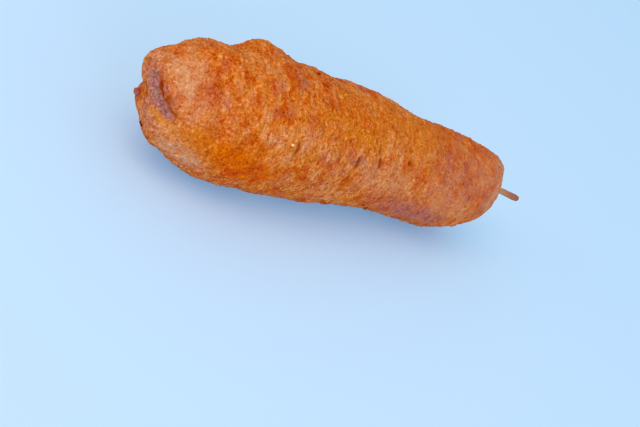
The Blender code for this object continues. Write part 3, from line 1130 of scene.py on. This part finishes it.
@dataclass
class Crust:
    """The batter roll, remade fine enough to carry its own grain, cracks and scar."""

    # The pick's hole, which the pick fills: its reach from the pick's axis, and its blind end
    hole_reach: float = 1.7
    blind_end: float = 5.0
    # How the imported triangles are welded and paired, and the even mesh made from them
    weld: float = 0.001
    flat: float = 40.0
    skew: float = 60.0
    voxel: float = 0.46
    settle: float = 0.5
    settle_passes: int = 4
    # The tip's marks get a finer mesh wherever they have this share of their strength
    tip_reach: float = 10.0
    near_mark: float = 0.2
    # Waves that shift the marks' edges: their height as a share of their length, and their lengths
    waver: float = 0.035
    waver_lengths: tuple[float, ...] = (5.0, 2.6, 1.3)
    marks: tuple[Mark, ...] = SHAPE_MARKS + TIP_MARKS + SIDE_MARKS + NECK_MARKS
    stray_marks: int = 46
    seed: int = 12

    def hole_faces(self, bm: bmesh.types.BMesh, roll: Roll) -> list[bmesh.types.BMFace]:
        """Find the faces of the pick's hole: its wall, and its blind end inside the roll.

        Args:
            bm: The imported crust.
            roll: The roll's measures.

        Returns:
            The faces.
        """
        way = (roll.pick_outer - roll.pick_inner).normalized()
        found = []
        for face in bm.faces:
            arm = face.calc_center_median() - roll.pick_inner
            if (arm - way * arm.dot(way)).length > self.hole_reach * MM:
                continue
            if abs(face.normal.dot(way)) < 0.5 or arm.length < self.blind_end * MM:
                found.append(face)
        return found

    def base(self, source: bpy.types.Object, roll: Roll) -> bpy.types.Object:
        """Make a smooth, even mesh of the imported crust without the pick's hole.

        Args:
            source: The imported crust.
            roll: The roll's measures.

        Returns:
            The new object.
        """
        bm = bmesh.new()
        bm.from_mesh(source.data)
        bmesh.ops.remove_doubles(bm, verts=bm.verts, dist=self.weld * MM)
        bmesh.ops.delete(bm, geom=self.hole_faces(bm, roll), context="FACES")
        bmesh.ops.holes_fill(bm, edges=[e for e in bm.edges if e.is_boundary], sides=0)
        limits = {"angle_face_threshold": self.flat, "angle_shape_threshold": self.skew}
        limits = {name: math.radians(angle) for name, angle in limits.items()}
        bmesh.ops.join_triangles(bm, faces=bm.faces, **limits)
        crust = link(bpy.data.objects.new("crust_surface", mesh_from(bm, "crust_surface")))
        rounded = crust.modifiers.new("Rounded", "SUBSURF")
        rounded.levels = rounded.render_levels = 2
        even = crust.modifiers.new("Even", "REMESH")
        even.mode = "VOXEL"
        even.voxel_size = self.voxel * MM
        settle = crust.modifiers.new("Settle", "SMOOTH")
        settle.factor = self.settle
        settle.iterations = self.settle_passes
        apply_modifiers(crust)
        return crust

    def refine(self, mesh: bpy.types.Mesh, roll: Roll) -> None:
        """Split the faces of the scar and its cracks, which carry the finest wrinkles.

        Args:
            mesh: The crust's mesh.
            roll: The roll's measures.
        """
        near = np.zeros(len(mesh.vertices), dtype=bool)
        for mark in self.marks:
            if mark.tint in (Tint.SCAR, Tint.CRACK) and mark.places[0][0] < self.tip_reach:
                near |= mark.profile(vertices(mesh), roll) > self.near_mark
        bm = bmesh.new()
        bm.from_mesh(mesh)
        edges = [e for e in bm.edges if near[e.verts[0].index] and near[e.verts[1].index]]
        bmesh.ops.subdivide_edges(bm, edges=edges, cuts=1, use_grid_fill=True, smooth=0.5)
        bmesh.ops.triangulate(bm, faces=[f for f in bm.faces if len(f.verts) > 4])
        bm.to_mesh(mesh)
        bm.free()

    def stray(self, random: np.random.Generator) -> Mark:
        """Draw the lot of one small pit, wrinkle or flush, anywhere but on the placed marks' side.

        Args:
            random: Where the lots come from.

        Returns:
            The mark.
        """
        along, turn = random.uniform(10.0, 122.0), random.uniform(85.0, 385.0)
        reach, slope = random.uniform(2.0, 10.0), random.uniform(-0.8, 0.8)
        places = ((along, turn), (along + slope, turn + reach))
        if random.random() < 0.4:
            return Mark(places, random.uniform(0.3, 0.5), -0.3, Tint.CRACK, random.uniform(0.3, 0.8))
        if random.random() < 0.6:
            return Mark(places, random.uniform(0.25, 0.5), 0.14, Tint.PEACH, 0.6)
        return Mark(places, random.uniform(1.5, 4.0), 0.0, Tint.ROSY, random.uniform(0.2, 0.5))

    def all_marks(self) -> list[Mark]:
        """The placed marks, and those strewn over the rest of the roll."""
        random = np.random.default_rng(self.seed)
        return [*self.marks, *(self.stray(random) for _ in range(self.stray_marks))]

    def wavered(self, points: np.ndarray) -> np.ndarray:
        """Shift points a little in slow waves, so that a mark drawn on them gets an uneven edge.

        Args:
            points: The points.

        Returns:
            The shifted points.
        """
        random = np.random.default_rng(self.seed)
        moved = points.copy()
        for length in self.waver_lengths:
            for axis in range(3):
                way = random.normal(size=3)
                way *= math.tau / (length * MM * np.linalg.norm(way))
                phase = random.uniform(0.0, math.tau)
                moved[:, axis] += self.waver * length * MM * np.sin(points @ way + phase)
        return moved

    def carve(self, mesh: bpy.types.Mesh, roll: Roll) -> None:
        """Press the marks into the surface, and store what each does to the colour.

        Args:
            mesh: The crust's mesh.
            roll: The roll's measures.
        """
        points, normals = vertices(mesh), vertex_normals(mesh)
        uneven = self.wavered(points)
        push = np.zeros(len(points))
        tints = {tint: np.zeros(len(points)) for tint in Tint if tint is not Tint.NONE}
        for mark in self.all_marks():
            profile = mark.profile(uneven, roll)
            push += mark.height * MM * profile
            if mark.tint is not Tint.NONE:
                tints[mark.tint] = np.maximum(tints[mark.tint], mark.strength * profile)
        put_vertices(mesh, points + normals * push[:, None])
        for tint, values in tints.items():
            put_attribute(mesh, tint.value, values)

    def rest_on_floor(self, mesh: bpy.types.Mesh) -> None:
        """Flatten what would reach below the surface that the roll lies on.

        Args:
            mesh: The crust's mesh.
        """
        points = vertices(mesh)
        points[:, 2] = np.maximum(points[:, 2], 0.0)
        put_vertices(mesh, points)

    def build(
        self, source: bpy.types.Object, roll: Roll, finish: bpy.types.Material
    ) -> bpy.types.Object:
        """Make the crust.

        Args:
            source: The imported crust.
            roll: The roll's measures.
            finish: The crust's material.

        Returns:
            The finished piece.
        """
        crust = self.base(source, roll)
        self.refine(crust.data, roll)
        self.carve(crust.data, roll)
        ReliefTree(finish).work_on(crust)
        self.rest_on_floor(crust.data)
        crust.data.shade_smooth()
        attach(crust, BODY)
        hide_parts(source.name)
        return crust


# --------------------------------------------------------------------------- grit and crumbs


class GritTree(SurfaceTree):
    """Strews small uneven grains over a surface, most of each one sunk into it."""

    NAME = "cornmeal_grit"
    SIZES = (
        ("Spacing", 1.25),
        ("Grain Size", 0.95),
        ("Sink", 0.22),
        ("Floor Gap", 0.8),
        ("Roughness", 0.22),
        ("Seed", 7.0),
    )
    # Most grains for a square metre, before the spacing thins them out
    DENSITY = 3.0e6
    # Least and greatest stretch of a grain along each of its axes, and the shift of its lot
    STRETCHES = ((0.7, 1.5, 2.0), (0.5, 0.95, 3.0), (0.45, 0.75, 4.0))
    # Width in mm of the bumps that make each grain uneven
    BUMP = 0.5

    def lot(self, low: float, high: float, shift: float) -> Socket:
        """Draw a lot for each grain.

        Args:
            low: Least number.
            high: Greatest number.
            shift: Number that tells this lot from the others.

        Returns:
            The number that a grain gets.
        """
        node = self.canvas.add("FunctionNodeRandomValue", data_type="FLOAT")
        node.inputs[2].default_value, node.inputs[3].default_value = low, high
        self.canvas.feed(node.inputs["Seed"], self.canvas.plus(self.group["Seed"], shift))
        return node.outputs[1]

    def scatter(self) -> bpy.types.Node:
        """Scatter points on the surface, denser in some places, none low down or in the scar.

        Returns:
            The node that scatters them.
        """
        canvas = self.canvas
        where = self.position()
        above = canvas.add("FunctionNodeCompare", data_type="FLOAT", operation="GREATER_THAN")
        canvas.feed(above.inputs[0], canvas.part_of(where, 2))
        canvas.feed(above.inputs[1], self.metres("Floor Gap"))
        patchy = canvas.stretch(canvas.noise(where, 9.0, detail=2.0, w=4.0), 0.35, 0.6, (0.35, 1.0))
        off_scar = canvas.stretch(self.named(Tint.SCAR.value), 0.5, 0.1)
        points = canvas.add("GeometryNodeDistributePointsOnFaces", distribute_method="POISSON")
        canvas.feed(points.inputs["Mesh"], self.group["Geometry"])
        canvas.feed(points.inputs["Selection"], above.outputs[0])
        canvas.feed(points.inputs["Distance Min"], self.metres("Spacing"))
        points.inputs["Density Max"].default_value = self.DENSITY
        canvas.feed(points.inputs["Density Factor"], canvas.times(patchy, off_scar))
        canvas.feed(points.inputs["Seed"], self.group["Seed"])
        return points

    def grains(self, points: bpy.types.Node) -> Socket:
        """Put a grain on each point, turned and stretched by lot.

        Args:
            points: The node that scatters the points.

        Returns:
            The grains, as instances.
        """
        canvas = self.canvas
        spin = canvas.add("ShaderNodeCombineXYZ")
        canvas.feed(spin.inputs[2], self.lot(0.0, math.tau, 1.0))
        turned = canvas.add("FunctionNodeRotateRotation", rotation_space="LOCAL")
        canvas.feed(turned.inputs[0], points.outputs["Rotation"])
        canvas.feed(turned.inputs[1], spin.outputs[0])
        shape = canvas.add("ShaderNodeCombineXYZ")
        for axis, (low, high, shift) in enumerate(self.STRETCHES):
            canvas.feed(shape.inputs[axis], self.lot(low, high, shift))
        ball = canvas.add("GeometryNodeMeshIcoSphere")
        ball.inputs["Subdivisions"].default_value = 1
        canvas.feed(ball.inputs["Radius"], canvas.times(self.metres("Grain Size"), 0.5))
        grains = canvas.add("GeometryNodeInstanceOnPoints")
        canvas.feed(grains.inputs["Points"], points.outputs["Points"])
        canvas.feed(grains.inputs["Instance"], ball.outputs["Mesh"])
        canvas.feed(grains.inputs["Rotation"], turned.outputs[0])
        canvas.feed(grains.inputs["Scale"], shape.outputs[0])
        down = canvas.add("ShaderNodeCombineXYZ")
        canvas.feed(down.inputs[2], canvas.times(self.metres("Sink"), -1.0))
        sunk = canvas.add("GeometryNodeTranslateInstances")
        canvas.feed(sunk.inputs["Instances"], grains.outputs[0])
        canvas.feed(sunk.inputs["Translation"], down.outputs[0])
        return sunk.outputs[0]

    def toned(self, grains: Socket) -> Socket:
        """Make some of the grains light and some dark, by lot.

        Args:
            grains: The grains.

        Returns:
            The grains.
        """
        lot = self.lot(-1.0, 1.0, 5.0)
        for name, sign in ((GRIT_LIGHT, 1.0), (GRIT_DARK, -1.0)):
            tone = self.canvas.stretch(self.canvas.times(lot, sign), 0.2, 1.0, (0.0, 0.35))
            grains = self.store(grains, "INSTANCE", name, tone)
        return grains

    def roughened(self, grains: Socket) -> Socket:
        """Make the grains real, each with its own uneven shape.

        Args:
            grains: The grains, as instances.

        Returns:
            The grains, as one mesh.
        """
        canvas = self.canvas
        real = canvas.add("GeometryNodeRealizeInstances")
        canvas.feed(real.inputs[0], grains)
        wobble = canvas.add("ShaderNodeTexNoise")
        canvas.feed(wobble.inputs["Vector"], self.position())
        wobble.inputs["Scale"].default_value = 1.0 / (self.BUMP * MM)
        way = canvas.vector("SUBTRACT", wobble.outputs["Color"], (0.5, 0.5, 0.5))
        offset = canvas.scaled(way, canvas.times(self.metres("Roughness"), 2.0))
        smooth = canvas.add("GeometryNodeSetShadeSmooth")
        canvas.feed(smooth.inputs["Geometry"], self.moved(real.outputs[0], offset))
        return smooth.outputs[0]

    def draw(self) -> Socket:
        """Add the nodes.

        Returns:
            The grains, without the surface that they lie on.
        """
        return self.roughened(self.toned(self.grains(self.scatter())))

    def strew(self, crust: bpy.types.Object) -> bpy.types.Object:
        """Strew grains over a copy of the crust.

        Args:
            crust: The finished crust.

        Returns:
            The finished piece: the grains, one mesh.
        """
        grit = link(bpy.data.objects.new("cornmeal_grit", crust.data.copy()))
        self.work_on(grit)
        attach(grit, BODY)
        return grit


@dataclass(frozen=True)
class Crumb:
    """One bit of batter on the crust: its place, how long, wide and high it is, its lie and tone."""

    along: float
    turn: float
    size: tuple[float, float, float]
    lie: float = 0.0
    light: float = 0.0
    dark: float = 0.0
    mauve: float = 0.0

    def tones(self) -> tuple[float, float, float]:
        """What it does to the crust's colour: light, dark and mauve."""
        return self.light, self.dark, self.mauve


@dataclass
class Crumbs:
    """Bits of batter and crumb that fried onto the crust, larger than its grit."""

    placed: tuple[Crumb, ...] = (
        Crumb(4.0, -139, (2.5, 2.1, 1.6), 20.0, mauve=0.7),
        # A peeled flake on the outline; its dark tone is partly its own and partly painted shade along
        # its edge
        Crumb(7.0, 161, (1.9, 0.4, 0.5), -10.0, dark=0.8, mauve=1.0),
        # A pale grain whose light tone also stands in for a glint: painted highlight
        Crumb(36.9, 65.5, (0.9, 0.7, 0.7), light=1.4),
        Crumb(64.1, 127, (1.5, 1.2, 1.0), dark=0.4),
        Crumb(81.1, 128, (1.2, 1.0, 0.9), dark=0.4),
    )
    strewn: int = 26
    bury: float = 0.3
    roughness: float = 0.2
    bulges: float = 2.2
    # How far apart two crumbs' patterns of bulges lie, for each metre between them
    drift: float = 4000.0
    floor_gap: float = 2.5
    seed: int = 31

    def stray(self, random: np.random.Generator) -> Crumb:
        """Draw the lot of one strewn crumb.

        Args:
            random: Where the lots come from.

        Returns:
            The crumb.
        """
        along, turn = random.uniform(8.0, 120.0), random.uniform(-80.0, 250.0)
        long = random.uniform(0.9, 1.7)
        size = (long, long * random.uniform(0.6, 0.9), long * random.uniform(0.4, 0.6))
        tone = random.uniform(-0.5, 0.5)
        return Crumb(along, turn, size, random.uniform(0.0, 180.0), max(tone, 0.0), max(-tone, 0.0))

    def all_crumbs(self) -> list[Crumb]:
        """The placed crumbs, and those strewn over the roll."""
        random = np.random.default_rng(self.seed)
        return [*self.placed, *(self.stray(random) for _ in range(self.strewn))]

    def shape(self, bm: bmesh.types.BMesh, crumb: Crumb, spot: Vector, up: Vector) -> int:
        """Add one crumb.

        Args:
            bm: The crumbs so far.
            crumb: The crumb.
            spot: Where it sits on the crust.
            up: The crust's normal there.

        Returns:
            How many vertices it has.
        """
        made = bmesh.ops.create_icosphere(bm, subdivisions=2, radius=0.5)["verts"]
        lie = Matrix.Rotation(math.radians(crumb.lie), 3, "Z")
        turned = up.to_track_quat("Z", "Y").to_matrix() @ lie
        lift = (0.5 - self.bury) * crumb.size[2] * MM
        for vertex in made:
            bulge = 1.0 + self.roughness * noise.noise(vertex.co * self.bulges + spot * self.drift)
            shape = Vector(vertex.co[axis] * crumb.size[axis] * bulge for axis in range(3)) * MM
            vertex.co = spot + up * lift + turned @ shape
        return len(made)

    def build(
        self, crust: bpy.types.Object, roll: Roll, finish: bpy.types.Material
    ) -> bpy.types.Object:
        """Make the crumbs.

        Args:
            crust: The finished crust that they sit on.
            roll: The roll's measures.
            finish: The crust's material.

        Returns:
            The finished piece: the crumbs, one mesh.
        """
        ground = tree_of(crust.data)
        bm = bmesh.new()
        tones = []
        for crumb in self.all_crumbs():
            spot, up = ground.find_nearest(roll.place(crumb.along, crumb.turn))[:2]
            if spot.z >= self.floor_gap * MM:
                tones += [crumb.tones()] * self.shape(bm, crumb, spot, up)
        mesh = mesh_from(bm, "crust_crumbs")
        for name, values in zip((GRIT_LIGHT, GRIT_DARK, Tint.MAUVE.value), np.array(tones).T):
            put_attribute(mesh, name, values)
        mesh.shade_smooth()
        mesh.materials.append(finish)
        crumbs = link(bpy.data.objects.new("crust_crumbs", mesh))
        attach(crumbs, BODY)
        return crumbs


# --------------------------------------------------------------------------- pick


def rise_from(start: float, part: float) -> float:
    """Go from 0 at a share of a length to 1 at its end."""
    return max(0.0, (part - start) / (1.0 - start))


@dataclass
class Pick:
    """The wooden pick, a little uneven, blunt and darkened at its outer end.

    The shares that end in _to or _from are parts of its length, from its point inside the roll.
    """

    radius: float = 0.8
    end_radius: float = 1.05
    point_to: float = 0.09
    flare_from: float = 0.72
    rounded_from: float = 0.992
    toast_from: float = 0.8
    rounding: float = 0.25
    wobble: float = 0.05
    waves: int = 4
    crease: float = 50.0
    sides: int = 20
    rings: int = 40
    seed: int = 8

    def radius_at(self, part: float, angle: float, waves: np.ndarray) -> float:
        """Radius of the pick at one place.

        Args:
            part: Share of the pick's length, from its point.
            angle: Angle about it, in radians.
            waves: Amount and phase of each of the waves that make it uneven.

        Returns:
            The radius in metres.
        """
        size = min(1.0, part / self.point_to) * self.radius
        size += (self.end_radius - self.radius) * rise_from(self.flare_from, part)
        size -= self.rounding * self.radius * rise_from(self.rounded_from, part)
        ripple = sum(
            amount * math.sin((index + 2) * angle + 9.0 * phase + 5.0 * part)
            for index, (amount, phase) in enumerate(waves)
        )
        return size * MM * (1.0 + self.wobble * ripple)

    def build(self, roll: Roll) -> bpy.types.Object:
        """Make the pick.

        Args:
            roll: The roll's measures, which say where the pick runs.

        Returns:
            The finished piece.
        """
        way = roll.pick_outer - roll.pick_inner
        turned = way.to_track_quat("Z", "Y").to_matrix()
        bm = bmesh.new()
        bmesh.ops.create_cone(
            bm, cap_ends=True, segments=self.sides, radius1=1.0, radius2=1.0, depth=1.0
        )
        shaft = [e for e in bm.edges if abs(e.verts[0].co.z - e.verts[1].co.z) > 0.5]
        bmesh.ops.subdivide_edges(bm, edges=shaft, cuts=self.rings)
        waves = np.random.default_rng(self.seed).uniform(-1.0, 1.0, (self.waves, 2))
        toast = []
        for vertex in bm.verts:
            part = vertex.co.z + 0.5
            angle = math.atan2(vertex.co.y, vertex.co.x)
            size = self.radius_at(part, angle, waves)
            arm = Vector((math.cos(angle) * size, math.sin(angle) * size, 0.0))
            vertex.co = roll.pick_inner + way * part + turned @ arm
            toast.append(rise_from(self.toast_from, part))
        mesh = mesh_from(bm, "pick")
        put_attribute(mesh, TOAST, np.array(toast))
        mesh.shade_smooth()
        mesh.set_sharp_from_angle(angle=math.radians(self.crease))
        mesh.materials.append(WoodFinish().make())
        pick = link(bpy.data.objects.new("pick", mesh))
        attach(pick, BODY)
        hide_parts("stick")
        return pick


# --------------------------------------------------------------------------- studio


@dataclass(frozen=True)
class Lamp:
    """A soft square light, placed in metres from the roll along the camera's own directions."""

    name: str
    right: float
    up: float
    back: float
    size: float
    power: float
    colour: tuple[float, float, float]


@dataclass
class Studio:
    """Pale floor, soft light and the camera; the camera's distance and the floor are in metres."""

    azimuth: float = -46.8
    elevation: float = 29.6
    roll: float = 39.5
    distance: float = 0.4244
    slide_right: float = -3.4
    slide_up: float = -21.4
    lens: float = 85.0
    nearest: float = 0.01
    floor_size: float = 3.0
    sky: tuple[float, float, float, float] = (0.90, 1.0, 0.925, 1.0)
    sky_strength: float = 0.64
    lamps: tuple[Lamp, ...] = (
        Lamp("key", 0.1, 0.5, 0.7, 0.6, 1.62, (1.0, 0.667, 0.3)),
        Lamp("front", 0.25, -0.42, 0.8, 0.5, 2.3, (0.85, 0.85, 1.0)),
        Lamp("left", -0.55, 0.35, 0.6, 0.4, 0.84, (1.0, 0.93, 0.857)),
    )

    def axes(self) -> tuple[Vector, Vector, Vector]:
        """Work out where the camera faces.

        Returns:
            The camera's right, up and back directions.
        """
        a, e, r = (math.radians(value) for value in (self.azimuth, self.elevation, self.roll))
        back = Vector((math.sin(a) * math.cos(e), -math.cos(a) * math.cos(e), math.sin(e)))
        right = Vector((math.cos(a), math.sin(a), 0.0))
        up = back.cross(right)
        return right * math.cos(r) + up * math.sin(r), up * math.cos(r) - right * math.sin(r), back

    def lay_floor(self) -> None:
        """Add the surface that the corn dog lies on."""
        bm = bmesh.new()
        bmesh.ops.create_grid(bm, x_segments=1, y_segments=1, size=self.floor_size)
        mesh = mesh_from(bm, "floor")
        mesh.materials.append(FloorFinish().make())
        floor = link(bpy.data.objects.new("floor", mesh))

    def light_sky(self) -> None:
        """Add the even light from all round."""
        world = bpy.data.worlds.new("sky")
        world.use_nodes = True
        sky = world.node_tree.nodes["Background"]
        sky.inputs["Color"].default_value = self.sky
        sky.inputs["Strength"].default_value = self.sky_strength
        bpy.context.scene.world = world

    def hang(self, lamp: Lamp, middle: Vector) -> None:
        """Add one light, facing the crust.

        Args:
            lamp: The light.
            middle: Middle of the crust.
        """
        right, up, back = self.axes()
        data = bpy.data.lights.new(lamp.name, "AREA")
        data.size = lamp.size
        data.energy = lamp.power
        data.color = lamp.colour
        light = link(bpy.data.objects.new(lamp.name, data))
        light.location = middle + right * lamp.right + up * lamp.up + back * lamp.back
        light.rotation_euler = (light.location - middle).to_track_quat("Z", "Y").to_euler()

    def set_camera(self, middle: Vector) -> None:
        """Add the camera, and show colours as they are.

        Args:
            middle: Middle of the crust.
        """
        right, up, back = self.axes()
        data = bpy.data.cameras.new("camera")
        data.lens = self.lens
        data.clip_start = self.nearest
        camera = link(bpy.data.objects.new("camera", data))
        aim = middle + (right * self.slide_right + up * self.slide_up) * MM
        turned = Matrix((right, up, back)).transposed().to_4x4()
        camera.matrix_world = Matrix.Translation(aim + back * self.distance) @ turned
        bpy.context.scene.camera = camera
        bpy.context.scene.view_settings.view_transform = "Standard"

    def build(self, middle: Vector) -> None:
        """Add the floor, the lights and the camera.

        Args:
            middle: Middle of the crust.
        """
        self.lay_floor()
        self.light_sky()
        for lamp in self.lamps:
            self.hang(lamp, middle)
        self.set_camera(middle)


# --------------------------------------------------------------------------- the whole


def report(piece: bpy.types.Object) -> None:
    """Log a piece's name and how many triangles it has."""
    piece.data.calc_loop_triangles()
    LOG.info("%s: %d triangles", piece.name, len(piece.data.loop_triangles))


def main() -> None:
    """Build the corn dog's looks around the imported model."""
    logging.basicConfig(level=logging.INFO, format="%(name)s: %(message)s")
    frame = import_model()
    nodes = frame["nodes"]
    roll = Roll()
    roll.measure(nodes["crust"].data, nodes["stick"].data)
    batter = CrustFinish().make()
    crust = Crust().build(nodes["crust"], roll, batter)
    report(crust)
    report(GritTree(batter).strew(crust))
    report(Crumbs().build(crust, roll, batter))
    report(Pick().build(roll))
    low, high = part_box("crust")
    Studio().build((Vector(low) + Vector(high)) / 2.0)


if __name__ == "__main__":
    main()
